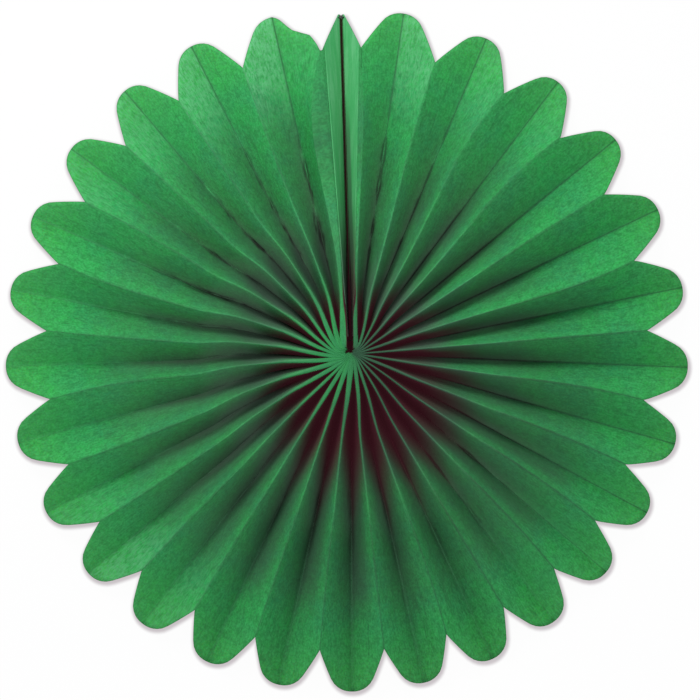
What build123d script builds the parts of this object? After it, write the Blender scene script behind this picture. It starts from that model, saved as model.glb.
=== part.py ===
"""A pleated tissue rosette: one long strip of tissue folded to and fro, its folds gathered at a hub.

The rosette lies on its back. The origin is the middle of the hub on the plane that the rear folds
lie in, +Z points out of the front and +Y runs from the hub along the seam where the strip's two
ends meet. Bearings are measured clockwise from the seam, as seen from the front.
"""

import os
from math import acos, asin, atan2, cos, degrees, hypot, pi, radians, sin, sqrt, tan

from build123d import *

# Driving sizes, in millimetres and degrees.
# Outline: the petals' tips and notches, and how far the hub lies off the outline's middle.
petal_count = 27
tip_radius = 317.5
notch_radius = 278.5
tip_round = 21.5
hub_offset = 4.2
hub_offset_bearing = -65.0

# Pleats: height from the rear folds to the front ones, at the hub and at the notches.
hub_depth = 45.0
rim_depth = 32.0
fold_half_width = 1.2
sheet_thickness = 0.4

# The strip was opened by hand, so the pleats bunch towards the far side from the seam.
one_way_bunching = 2.1
two_way_bunching = 3.8

# Hub: the gathered inner ends of the pleats, and the thread that ties them in a ring.
core_radius = 8.0
core_overlap = 0.5
thread_ring_radius = 11.0
thread_diameter = 1.0
thread_clearance = 0.1

# Seam: the two narrow end panels with their cards, and the slit that is left between them.
seam_half_at_hub = 4.0
seam_half_at_rim = 18.3
seam_depth_at_hub = 26.5
seam_depth_at_rim = 20.0
seam_tip_radius = 313.5
seam_tip_half_width = 2.8
slit_width = 2.2
card_thickness = 0.8
card_glue_line = 0.05
card_start_radius = 15.0
card_fold_inset = 1.5

# Ring that ties the tips of the two cards together.
tie_radius = 3.2
tie_wire_diameter = 0.9
tie_clearance = 0.1
tie_tip_inset = 3.0
tie_rise = 1.0

# Radii at which a pleat's section is drawn, as shares of the way from the core to past the tips.
section_shares = (0.0, 0.06, 0.2, 0.42, 0.68, 1.0)
section_overrun = 12.0

# Worked out from the sizes above.
inner_radius = core_radius - core_overlap
outer_radius = tip_radius + section_overrun
half_sheet = sheet_thickness / 2
slit_half = slit_width / 2
rear_plane = half_sheet
cutter_depth = hub_depth + 2 * sheet_thickness
cutter_foot = -tip_radius / 4


def pleat_depth(radius: float) -> float:
    """Height from a rear fold to the front folds beside it, which falls off towards the tips."""
    return hub_depth + (rim_depth - hub_depth) * (radius / notch_radius) ** 2


def between(at_hub: float, at_rim: float, radius: float) -> float:
    """A size that changes evenly from the gathered hub to the notches."""
    return at_hub + (at_rim - at_hub) * (radius - inner_radius) / (notch_radius - inner_radius)


def seam_half(radius: float) -> float:
    """Distance from the seam to the front fold beside it."""
    return between(seam_half_at_hub, seam_half_at_rim, radius)


def seam_depth(radius: float) -> float:
    """Drop from the front fold beside the seam to the slit."""
    return between(seam_depth_at_hub, seam_depth_at_rim, radius)


def ridge_bearing(index: int, radius: float) -> float:
    """Bearing of a front fold, counted clockwise from the one just right of the seam."""
    share = index / petal_count
    bunching = one_way_bunching * sin(pi * share) + two_way_bunching * sin(2 * pi * share)
    beside_seam = degrees(asin(seam_half(radius) / radius))
    return beside_seam + (360 - 2 * beside_seam) * (share + bunching / 360)


def off_centre(bearing: float) -> float:
    """How much further the outline reaches on this bearing, because the hub is off its middle."""
    return hub_offset * cos(radians(bearing - hub_offset_bearing))


def section_radii(first: float) -> list[float]:
    """Radii of the sections of a pleat or a card that starts at the first one."""
    return [first + (outer_radius - first) * share for share in section_shares]


def mitre(slope: float, side: int) -> Vector:
    """Step from a fold's centre line to the sheet's face; side is 1 for the front face."""
    return Vector(side * half_sheet * tan(slope / 2), side * half_sheet)


def flipped(point: Vector) -> Vector:
    """The same point on the other side of a pleat's middle plane."""
    return Vector(-point.X, point.Y)


def petal_section(half_pitch: float, depth: float) -> list[Vector]:
    """Outline of the sheet across one petal: front fold, rear fold and front fold again."""
    fold = min(fold_half_width, half_pitch / 2)
    slope = atan2(depth, half_pitch - 2 * fold)
    ridge = Vector(-half_pitch, rear_plane + depth)
    shoulder = Vector(-half_pitch + fold, rear_plane + depth)
    foot = Vector(-fold, rear_plane)
    front = [ridge + Vector(0, half_sheet), shoulder + mitre(slope, 1), foot + mitre(slope, 1)]
    rear = [foot + mitre(slope, -1), shoulder + mitre(slope, -1), ridge - Vector(0, half_sheet)]
    across_front = front + [flipped(point) for point in reversed(front)]
    across_rear = [flipped(point) for point in reversed(rear)] + rear
    return across_front + across_rear


def tangent_from(point: Vector, centre: Vector, radius: float, turn: int) -> Vector:
    """Where a straight edge from the point touches a round; turn is 1 for its left side."""
    reach = hypot(point.X - centre.X, point.Y - centre.Y)
    towards = atan2(point.Y - centre.Y, point.X - centre.X)
    touch = towards - turn * acos(radius / reach)
    return centre + Vector(radius * cos(touch), radius * sin(touch))


def make_petal(index: int) -> Part:
    """One petal of the strip, from the front fold on its left to the one on its right."""
    with BuildPart() as petal:
        for radius in section_radii(inner_radius):
            left = radians(ridge_bearing(index, radius))
            right = radians(ridge_bearing(index + 1, radius))
            middle = (left + right) / 2
            half_turn = (right - left) / 2
            chord = radius * cos(half_turn)
            across = Plane(
                origin=(chord * sin(middle), chord * cos(middle), 0),
                x_dir=(cos(middle), -sin(middle), 0),
                z_dir=(-sin(middle), -cos(middle), 0),
            )
            with BuildSketch(across):
                with BuildLine():
                    Polyline(petal_section(radius * sin(half_turn), pleat_depth(radius)), close=True)
                make_face()
        loft(ruled=True)

        left = ridge_bearing(index, notch_radius)
        right = ridge_bearing(index + 1, notch_radius)
        middle = (left + right) / 2
        half_turn = radians((right - left) / 2)
        left_reach = notch_radius + off_centre(left)
        right_reach = notch_radius + off_centre(right)
        left_notch = Vector(-left_reach * sin(half_turn), left_reach * cos(half_turn))
        right_notch = Vector(right_reach * sin(half_turn), right_reach * cos(half_turn))
        tip = Vector(0, tip_radius + off_centre(middle))
        round_centre = tip - Vector(0, tip_round)
        left_touch = tangent_from(left_notch, round_centre, tip_round, 1)
        right_touch = tangent_from(right_notch, round_centre, tip_round, -1)
        cut = Plane(
            origin=(0, 0, -half_sheet),
            x_dir=(cos(radians(middle)), -sin(radians(middle)), 0),
            z_dir=(0, 0, 1),
        )
        with BuildSketch(cut):
            with BuildLine():
                Line(left_notch, left_touch)
                ThreePointArc(left_touch, tip, right_touch)
                Line(right_touch, right_notch)
                Polyline(
                    right_notch,
                    (right_notch.X, cutter_foot),
                    (left_notch.X, cutter_foot),
                    left_notch,
                )
            make_face()
        extrude(amount=cutter_depth, mode=Mode.INTERSECT)
    return petal.part


def end_panel_slope(radius: float) -> float:
    """Slope of an end panel down from its front fold to the slit, in radians."""
    fold = min(fold_half_width, seam_half(radius) / 2)
    return atan2(seam_depth(radius), seam_half(radius) - fold - slit_half)


def end_panel_section(radius: float) -> list[Vector]:
    """Outline of the sheet from the front fold right of the seam down to the slit."""
    fold = min(fold_half_width, seam_half(radius) / 2)
    slope = end_panel_slope(radius)
    ridge = Vector(seam_half(radius), rear_plane + pleat_depth(radius))
    shoulder = ridge - Vector(fold, 0)
    edge = Vector(slit_half, ridge.Y - seam_depth(radius))
    edge_step = Vector(0, half_sheet / cos(slope))
    return [
        ridge + Vector(0, half_sheet),
        shoulder + flipped(mitre(slope, 1)),
        edge + edge_step,
        edge - edge_step,
        shoulder + flipped(mitre(slope, -1)),
        ridge - Vector(0, half_sheet),
    ]


def card_section(radius: float) -> list[Vector]:
    """Outline of the card glued on the front of the right end panel."""
    fold = min(fold_half_width, seam_half(radius) / 2)
    slope = end_panel_slope(radius)
    down = Vector(-cos(slope), -sin(slope))
    outward = Vector(-sin(slope), cos(slope))
    shoulder = Vector(seam_half(radius) - fold, rear_plane + pleat_depth(radius))
    glued = half_sheet + card_glue_line
    bare = glued + card_thickness
    top = shoulder + down * card_fold_inset
    edge = Vector(slit_half, shoulder.Y - seam_depth(radius))
    return [
        top + outward * glued,
        top + outward * bare,
        edge + Vector(0, bare / cos(slope)),
        edge + Vector(0, glued / cos(slope)),
    ]


def make_seam_piece(section, first_radius: float, side: int) -> Part:
    """An end panel or its card, right of the seam for side 1 and left of it for side -1."""
    with BuildPart() as piece:
        for radius in section_radii(first_radius):
            chord = sqrt(radius**2 - seam_half(radius) ** 2)
            with BuildSketch(Plane(origin=(0, chord, 0), x_dir=(1, 0, 0), z_dir=(0, -1, 0))):
                with BuildLine():
                    Polyline(section(radius), close=True)
                make_face()
        loft(ruled=True)
        bearing = degrees(asin(seam_half(notch_radius) / notch_radius))
        reach = notch_radius + off_centre(side * bearing)
        notch = Vector(reach * sin(radians(bearing)), reach * cos(radians(bearing)))
        with BuildSketch(Plane.XY.offset(-half_sheet)):
            with BuildLine():
                Polyline(
                    (0, cutter_foot),
                    (notch.X, cutter_foot),
                    notch,
                    (seam_tip_half_width, seam_tip_radius),
                    (0, seam_tip_radius),
                    close=True,
                )
            make_face()
        extrude(amount=cutter_depth, mode=Mode.INTERSECT)
        if side < 0:
            mirror(about=Plane.YZ, mode=Mode.REPLACE)
    return piece.part


def make_channel(plane: Plane, ring_radius: float, width: float) -> Part:
    """Square channel round a ring, which leaves a hole in each panel that the ring passes."""
    with BuildPart() as channel:
        with BuildSketch(plane.offset(-width / 2)):
            Circle(ring_radius + width / 2)
            Circle(ring_radius - width / 2, mode=Mode.SUBTRACT)
        extrude(amount=width)
    return channel.part


# Thread ring level with the middle of the pleats, and the holes that it needs.
thread_plane = Plane.XY.offset(rear_plane + hub_depth / 2)
thread_channel = make_channel(thread_plane, thread_ring_radius, thread_diameter + 2 * thread_clearance)

# Ring that ties the card tips: it stands across the seam and passes through both end panels.
tie_reach = seam_tip_radius - tie_tip_inset
tie_height = rear_plane + pleat_depth(tie_reach) - seam_depth(tie_reach) + tie_rise
tie_plane = Plane(origin=(0, tie_reach, tie_height), x_dir=(1, 0, 0), z_dir=(0, -1, 0))
tie_channel = make_channel(tie_plane, tie_radius, tie_wire_diameter + 2 * tie_clearance)

# Pleated tissue: 27 full petals, the two narrow end panels and the gathered core in one sheet.
with BuildPart() as pleated_tissue:
    with BuildSketch():
        Circle(core_radius)
    extrude(amount=sheet_thickness + hub_depth)
    with BuildSketch(Plane.XZ):
        with BuildLine():
            Polyline(
                (-slit_half, rear_plane + hub_depth - seam_depth_at_hub),
                (slit_half, rear_plane + hub_depth - seam_depth_at_hub),
                (seam_half_at_hub - half_sheet, cutter_depth),
                (half_sheet - seam_half_at_hub, cutter_depth),
                close=True,
            )
        make_face()
    extrude(amount=-core_radius, mode=Mode.SUBTRACT)
    add([make_petal(index) for index in range(petal_count)])
    add([make_seam_piece(end_panel_section, inner_radius, side) for side in (-1, 1)])
    add([thread_channel, tie_channel], mode=Mode.SUBTRACT)

# Cards: one on the front of each end panel.
with BuildPart() as end_card_left:
    add(make_seam_piece(card_section, card_start_radius, -1))
    add(tie_channel, mode=Mode.SUBTRACT)

with BuildPart() as end_card_right:
    add(make_seam_piece(card_section, card_start_radius, 1))
    add(tie_channel, mode=Mode.SUBTRACT)

# Thread that runs once round the hub through every pleat.
with BuildPart() as hub_thread:
    with Locations(thread_plane):
        Torus(thread_ring_radius, thread_diameter / 2)

# Wire ring through both card tips.
with BuildPart() as seam_tie:
    with Locations(tie_plane):
        Torus(tie_radius, tie_wire_diameter / 2)

pleated_tissue.part.label = "pleated_tissue"
end_card_left.part.label = "end_card_left"
end_card_right.part.label = "end_card_right"
hub_thread.part.label = "hub_thread"
seam_tie.part.label = "seam_tie"

os.makedirs("parts", exist_ok=True)
export_step(pleated_tissue.part, "parts/pleated_tissue.step")
export_step(end_card_left.part, "parts/end_card_left.step")
export_step(end_card_right.part, "parts/end_card_right.step")
export_step(hub_thread.part, "parts/hub_thread.step")
export_step(seam_tie.part, "parts/seam_tie.step")
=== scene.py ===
"""Look of a pleated tissue rosette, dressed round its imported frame.

The rosette lies on its back: +Z points out of its front and +Y runs from the hub along the seam.
Bearings are measured clockwise from the seam, as seen from the front. Lengths are in metres.
"""

import logging
import math
from collections.abc import Callable
from dataclasses import dataclass, field
from enum import Enum

import bpy
import numpy as np
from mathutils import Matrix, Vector


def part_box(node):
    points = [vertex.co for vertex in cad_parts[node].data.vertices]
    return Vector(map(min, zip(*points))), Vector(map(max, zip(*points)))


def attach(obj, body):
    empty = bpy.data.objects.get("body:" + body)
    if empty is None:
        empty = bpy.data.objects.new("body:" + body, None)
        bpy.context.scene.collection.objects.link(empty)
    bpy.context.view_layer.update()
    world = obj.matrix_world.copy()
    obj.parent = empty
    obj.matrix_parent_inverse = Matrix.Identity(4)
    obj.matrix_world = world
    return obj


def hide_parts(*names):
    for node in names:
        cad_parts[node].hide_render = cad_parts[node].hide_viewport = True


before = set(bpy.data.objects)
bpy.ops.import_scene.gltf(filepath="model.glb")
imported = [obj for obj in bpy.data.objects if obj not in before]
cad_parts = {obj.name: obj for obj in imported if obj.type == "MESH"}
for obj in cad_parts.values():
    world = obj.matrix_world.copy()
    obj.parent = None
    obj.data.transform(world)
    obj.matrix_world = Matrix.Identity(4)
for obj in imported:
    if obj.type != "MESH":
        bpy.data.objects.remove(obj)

log = logging.getLogger("rosette")

Colour = tuple[float, float, float]
Value = "Term | float"
Settings = dict[str, object]
Inputs = dict[str | int, object]
MM = 0.001


class Body(Enum):
    """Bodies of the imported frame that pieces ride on."""

    ROSETTE = "root"


class Slot(Enum):
    """Material slots of the record."""

    TISSUE = "tissue"
    CARD = "card"
    THREAD = "thread"
    TIE = "tie"


class Mark(Enum):
    """Attributes that the flat strip and the folded sheet carry."""

    FOLD = "fold"
    BOW = "bow"
    TURN = "turn"
    PAINTED_SHEEN = "chalk"
    FLAT = "flat"
    GAP_SHADE = "gap"
    PAINTED_SHADE = "dusk"
    LINE = "line"
    SEEP_GLOW = "seep"
    SLIT_SHADE = "unseen"
    SHADE = "shade"
    MARGIN = "margin"
    STRAND = "strand"


def placed(name: str, data: bpy.types.ID) -> bpy.types.Object:
    """Puts a new object in the scene."""
    made = bpy.data.objects.new(name, data)
    bpy.context.scene.collection.objects.link(made)
    return made


def operator(operation: str, turned: bool = False) -> Callable[["Term", Value], "Term"]:
    """Makes an operator of terms that adds a Math node, with its two values turned if asked."""

    def apply(term: "Term", other: Value) -> "Term":
        values = (other, term) if turned else (term, other)
        return term.graph.math(operation, *values)

    return apply


def maths(operation: str) -> Callable[..., "Term"]:
    """Makes a method of graphs that adds a Math node."""
    return lambda graph, *values: graph.math(operation, *values)


class Term:
    """A node socket that takes part in Python arithmetic; comparisons give one or zero."""

    def __init__(self, graph: "Graph", socket: bpy.types.NodeSocket) -> None:
        """Wraps a socket of the graph."""
        self.graph = graph
        self.socket = socket

    __add__ = __radd__ = operator("ADD")
    __sub__ = operator("SUBTRACT")
    __rsub__ = operator("SUBTRACT", turned=True)
    __mul__ = __rmul__ = operator("MULTIPLY")
    __truediv__ = operator("DIVIDE")
    __pow__ = operator("POWER")
    __gt__ = operator("GREATER_THAN")
    __lt__ = operator("LESS_THAN")

    def __neg__(self) -> "Term":
        """Negative."""
        return self * -1.0


class Graph:
    """A node tree with short ways to add nodes and sums."""

    def __init__(self, tree: bpy.types.NodeTree) -> None:
        """Starts with an empty tree."""
        self.tree = tree
        tree.nodes.clear()

    def node(
        self, kind: str, settings: Settings | None = None, inputs: Inputs | None = None
    ) -> bpy.types.Node:
        """Adds any node.

        Args:
            kind: The node's type.
            settings: Its settings, set first.
            inputs: Values or links by socket name or index.

        Returns:
            The node.
        """
        made = self.tree.nodes.new(kind)
        for name, value in (settings or {}).items():
            setattr(made, name, value)
        for key, value in (inputs or {}).items():
            self.feed(made.inputs[key], value)
        return made

    def feed(self, socket: bpy.types.NodeSocket, value: object) -> None:
        """Links a term to a socket, or sets the socket to a plain value."""
        if isinstance(value, Term):
            self.tree.links.new(value.socket, socket)
        else:
            socket.default_value = value

    def term(
        self,
        kind: str,
        settings: Settings | None = None,
        inputs: Inputs | None = None,
        output: str | int = 0,
    ) -> Term:
        """Adds a node and gives one of its outputs, ready for arithmetic."""
        return Term(self, self.node(kind, settings, inputs).outputs[output])

    def math(self, operation: str, *values: Value) -> Term:
        """Adds a Math node on up to three values."""
        return self.term("ShaderNodeMath", {"operation": operation}, dict(enumerate(values)))

    smaller, larger = maths("MINIMUM"), maths("MAXIMUM")
    sin, cos = maths("SINE"), maths("COSINE")
    root, unsigned = maths("SQRT"), maths("ABSOLUTE")

    def held(self, value: Term, low: float = 0.0, high: float = 1.0) -> Term:
        """A value kept between two limits."""
        return self.smaller(self.larger(value, low), high)

    def blend(self, share: Value, none: Value, full: Value) -> Term:
        """A value between two others."""
        return none + (full - none) * share

    def ease(self, value: Term, low: Value, high: Value) -> Term:
        """Rises smoothly from 0 at low to 1 at high."""
        return self.term(
            "ShaderNodeMapRange",
            {"interpolation_type": "SMOOTHSTEP", "clamp": True},
            {"Value": value, "From Min": low, "From Max": high},
        )

    def fade(self, value: Term, low: Value, high: Value) -> Term:
        """Falls smoothly from 1 at low to 0 at high."""
        return 1.0 - self.ease(value, low, high)

    def noise(
        self, place: Term, scale: float, detail: float, roughness: float = 0.5, distortion: float = 0.0
    ) -> Term:
        """Smooth noise about one half, on the given coordinates."""
        form = {"Scale": scale, "Detail": detail, "Roughness": roughness, "Distortion": distortion}
        return self.term("ShaderNodeTexNoise", {"noise_dimensions": "3D"}, {"Vector": place, **form})

    def join(self, x: Value, y: Value, z: Value) -> Term:
        """A vector from three numbers."""
        return self.term("ShaderNodeCombineXYZ", None, {0: x, 1: y, 2: z})

    def parts(self, vector: Term) -> tuple[Term, ...]:
        """The three numbers of a vector."""
        split = self.node("ShaderNodeSeparateXYZ", None, {0: vector})
        return tuple(Term(self, part) for part in split.outputs)

    def stretched(self, vector: Term, factors: Colour) -> Term:
        """A vector with each part times its own factor."""
        return self.term("ShaderNodeVectorMath", {"operation": "MULTIPLY"}, {0: vector, 1: factors})

    def tint(self, share: Value, first: "Term | Colour", second: "Term | Colour") -> Term:
        """A colour between two others."""
        ends = [one if isinstance(one, Term) else (*one, 1.0) for one in (first, second)]
        return self.term(
            "ShaderNodeMix",
            {"data_type": "RGBA", "clamp_factor": True},
            {"Factor": share, 6: ends[0], 7: ends[1]},
            output=2,
        )

    def layered(self, colour: Term, *layers: tuple[Value, "Term | Colour"]) -> Term:
        """Lays colours over a first one, each by its share."""
        for share, over in layers:
            colour = self.tint(share, colour, over)
        return colour

    def seen_by(self, *rays: str) -> Term:
        """One for any of two kinds of ray, else zero."""
        path = self.node("ShaderNodeLightPath")
        return self.larger(*(Term(self, path.outputs[ray]) for ray in rays))


class FoldTree(Graph):
    """A Geometry Nodes tree with named inputs."""

    def __init__(self, name: str) -> None:
        """Starts a tree that takes and gives geometry."""
        super().__init__(bpy.data.node_groups.new(name, "GeometryNodeTree"))
        self.sizes: dict[str, float] = {}
        for way in ("INPUT", "OUTPUT"):
            self.tree.interface.new_socket("Geometry", in_out=way, socket_type="NodeSocketGeometry")
        self.entry = self.node("NodeGroupInput")
        self.exit = self.node("NodeGroupOutput")

    def named(self, owner: object, *names: str) -> list[Term]:
        """Adds an input for each named size of an object and gives their sockets."""
        for name in names:
            self.tree.interface.new_socket(name, in_out="INPUT", socket_type="NodeSocketFloat")
            self.sizes[name] = getattr(owner, name)
        return [Term(self, self.entry.outputs[name]) for name in names]

    def marked(self, mark: Mark) -> Term:
        """Reads a number that the mesh carries at each point."""
        return self.term("GeometryNodeInputNamedAttribute", {"data_type": "FLOAT"}, {"Name": mark.value})

    def store(self, geometry: Term, mark: Mark, value: Term, kind: str = "FLOAT") -> Term:
        """Writes a value on each point of the geometry."""
        return self.term(
            "GeometryNodeStoreNamedAttribute",
            {"data_type": kind, "domain": "POINT"},
            {"Geometry": geometry, "Name": mark.value, "Value": value},
        )

    def moved(self, geometry: Term, x: Term, y: Term, z: Value) -> Term:
        """Puts each point of the geometry at its new coordinates."""
        places = {"Geometry": geometry, "Position": self.join(x, y, z)}
        return self.term("GeometryNodeSetPosition", None, places)

    def circle(self, points: int, radius: Value) -> Term:
        """A round curve."""
        sizes = {"Resolution": points, "Radius": radius}
        return self.term("GeometryNodeCurvePrimitiveCircle", {"mode": "RADIUS"}, sizes)

    def tube(self, curve: Term, sides: int, radius: Term, capped: bool = False) -> Term:
        """A round tube along a curve."""
        run = {"Curve": curve, "Profile Curve": self.circle(sides, radius), "Fill Caps": capped}
        return self.term("GeometryNodeCurveToMesh", None, run)

    def close(self, geometry: Term, finish: bpy.types.Material) -> None:
        """Ends the tree with real geometry that has its finish."""
        real = self.term("GeometryNodeRealizeInstances", None, {0: geometry})
        smooth = self.term("GeometryNodeSetShadeSmooth", None, {0: real})
        dressed = self.term("GeometryNodeSetMaterial", None, {0: smooth, "Material": finish})
        self.feed(self.exit.inputs[0], dressed)

    def shape(self, name: str, start: bpy.types.Mesh | None = None) -> bpy.types.Object:
        """Runs the tree on a start mesh.

        Args:
            name: The finished piece's name.
            start: The mesh that goes in, or nothing for a tree that needs none.

        Returns:
            An object with the result as a plain mesh.
        """
        rough = placed(name + "_start", start or bpy.data.meshes.new(name + "_start"))
        modifier = rough.modifiers.new("nodes", "NODES")
        modifier.node_group = self.tree
        for item in self.tree.interface.items_tree:
            if item.in_out == "INPUT" and item.name in self.sizes:
                modifier[item.identifier] = self.sizes[item.name]
        depsgraph = bpy.context.evaluated_depsgraph_get()
        made = bpy.data.meshes.new_from_object(rough.evaluated_get(depsgraph))
        rough.modifiers.remove(modifier)
        bpy.data.objects.remove(rough)
        made.name = name
        return placed(name, made)


class Shader(Graph):
    """The node tree of one finish, with a Principled shader at its end."""

    def __init__(self, name: str) -> None:
        """Starts a material of that name."""
        self.material = bpy.data.materials.new(name)
        self.material.use_nodes = True
        self.material.cycles.emission_sampling = "NONE"
        super().__init__(self.material.node_tree)
        self.surface = self.node("ShaderNodeBsdfPrincipled")
        self.output = self.node("ShaderNodeOutputMaterial", None, {"Surface": self.shaded})

    @property
    def shaded(self) -> Term:
        """What the Principled shader gives."""
        return Term(self, self.surface.outputs[0])

    def place(self, output: str = "Object") -> Term:
        """Object coordinates, or another output of the coordinates' node."""
        return self.term("ShaderNodeTexCoord", output=output)

    def marked(self, mark: Mark, output: str = "Fac") -> Term:
        """Reads what the mesh carries at each point, as a number or a vector."""
        return self.term("ShaderNodeAttribute", {"attribute_name": mark.value}, output=output)

    def set(self, **values: object) -> None:
        """Sets or links sockets of the shader; an underscore stands for a space."""
        for name, value in values.items():
            self.feed(self.surface.inputs[name.replace("_", " ")], value)

    def bump(self, height: Term, depth: float, strength: float) -> None:
        """Raises the surface by a height from 0 to 1 times a depth in metres."""
        raised = {"Height": height, "Distance": depth, "Strength": strength}
        self.set(Normal=self.term("ShaderNodeBump", None, raised))


@dataclass(frozen=True)
class TissueFinish:
    """Dyed tissue: fibres and soft crinkles, with painted light and shade: a pale painted sheen, paler
    tips, painted shade in the folds and valleys, and a faint painted glow.
    """

    green: Colour = (0.028, 0.385, 0.084)
    deep_green: Colour = (0.028, 0.305, 0.100)
    # Painted light: paler yellower green towards the tips, where light comes through the single layer.
    tip_lit_green: Colour = (0.044, 0.395, 0.062)
    # Painted sheen: pale patches where the tissue catches the lamp.
    sheen_colour: Colour = (0.15, 0.50, 0.23)
    speckle: Colour = (0.066, 0.470, 0.135)
    # Painted shade colours: grey-green over the panels, darker green near the hub.
    dusk: Colour = (0.052, 0.100, 0.066)
    hub_painted_shade: Colour = (0.036, 0.088, 0.052)
    # Painted shade: dark red deep in the folds near the hub.
    gap_shade_red: Colour = (0.070, 0.012, 0.020)
    # Painted glow: faint light given off in the dark red shade of the folds and in the slit.
    glow: Colour = (0.021, 0.004, 0.0065)
    slit_glow: Colour = (0.016, 0.003, 0.005)
    # Painted shade colours for the valley and ridge lines and along the wrinkles, dark red-grey near the
    # hub.
    crease: Colour = (0.020, 0.075, 0.034)
    deep_crease_shade: Colour = (0.026, 0.020, 0.020)
    edge: Colour = (0.022, 0.17, 0.045)
    # Painted shade: near black where the end panels lie down in the slit.
    tab: Colour = (0.026, 0.006, 0.009)
    # Painted glow colours, standing in for light seeping through the tissue.
    seep_glow_green: Colour = (0.012, 0.054, 0.021)
    seep_glow_grey: Colour = (0.026, 0.038, 0.029)
    rusty: Colour = (0.22, 0.13, 0.05)

    def material(self) -> bpy.types.Material:
        """Builds the material."""
        s = Shader("tissue_paper")
        flat = s.marked(Mark.FLAT, "Vector")
        _, _, facing = s.parts(s.place("Normal"))
        # The painted shade, crease lines and glow are kept to the front side of the sheet.
        front = s.ease(facing, -0.08, -0.02)
        gap = s.marked(Mark.GAP_SHADE) * front
        _, along, _ = s.parts(flat)
        cloud = s.noise(flat, 26.0, 3.0, 0.6)
        mottle = s.noise(flat, 260.0, 3.0, 0.65)
        fibre = s.noise(s.stretched(flat, (1.0, 0.3, 1.0)), 480.0, 2.0, 0.6, 0.6)
        crinkle = s.noise(s.stretched(flat, (0.8, 1.25, 1.0)), 70.0, 4.0, 0.6, 0.9)
        weave = s.noise(flat, 430.0, 1.5, 0.6)
        fold_run = s.noise(s.stretched(flat, (1.0, 0.22, 1.0)), 34.0, 2.0)
        patch = s.ease(s.noise(s.stretched(flat, (1.0, 0.6, 1.0)), 30.0, 2.0), 0.42, 0.6)
        wrinkle = s.fade(s.unsigned(fold_run - 0.5), 0.0, 0.02) * patch
        patchy = s.noise(flat, 120.0, 3.0, 0.65)
        rust = s.ease(s.noise(flat, 1000.0, 2.0, 0.6), 0.56, 0.68) * s.ease(along, 270 * MM, 312 * MM)
        sheen_texture = s.ease(crinkle * 0.3 + weave * 0.3 + fibre * 0.4, 0.36, 0.64)
        dusk = s.tint(s.ease(along, 50 * MM, 120 * MM), self.hub_painted_shade, self.dusk)
        # Painted shade along the valleys and ridges.
        line = s.marked(Mark.LINE) * front
        crease = s.tint(s.ease(along, 130 * MM, 225 * MM), self.deep_crease_shade, self.crease)
        unseen = s.marked(Mark.SLIT_SHADE)
        colour = s.layered(
            s.tint(s.ease(cloud, 0.36, 0.64), self.deep_green, self.green),
            (s.ease(along, 240 * MM, 318 * MM) * 0.8, self.tip_lit_green),
            (0.42 * s.ease(patchy, 0.42, 0.6), self.edge),
            (0.5 * s.ease(mottle * 0.45 + fibre * 0.55, 0.4, 0.62), self.speckle),
            (0.36 * s.ease(weave, 0.44, 0.6), self.edge),
            # Painted shade along the wrinkles.
            (0.22 * wrinkle, self.crease),
            (0.35 * rust, self.rusty),
            # Pale painted sheen on the chosen panels.
            (s.marked(Mark.PAINTED_SHEEN) * sheen_texture, self.sheen_colour),
            (0.55 * s.fade(s.marked(Mark.MARGIN), 0.1 * MM, 1.1 * MM), self.edge),
            (s.marked(Mark.PAINTED_SHADE) * front, dusk),
            (line, crease),
            (gap, self.gap_shade_red),
            (unseen, self.tab),
        )
        # Painted glow, given as emission: light through the tissue, and the dark red glow in the folds.
        seep_glow_green = s.tint(s.ease(along, 150 * MM, 250 * MM), self.seep_glow_grey, self.seep_glow_green)
        seep = s.marked(Mark.SEEP_GLOW) * (1.0 - line) * front
        glow = s.tint(gap, s.tint(seep, (0.0, 0.0, 0.0), seep_glow_green), self.glow)
        s.set(
            Base_Color=colour,
            Roughness=0.72 + 0.2 * mottle,
            Specular_IOR_Level=0.15,
            Emission_Color=s.tint(unseen, glow, self.slit_glow),
            Emission_Strength=1.0,
        )
        height = crinkle * 0.6 + patchy * 0.2 + mottle * 0.12 + fibre * 0.05 - wrinkle * 0.1
        s.bump(height, 1.5 * MM, 0.6)
        return s.material


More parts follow.
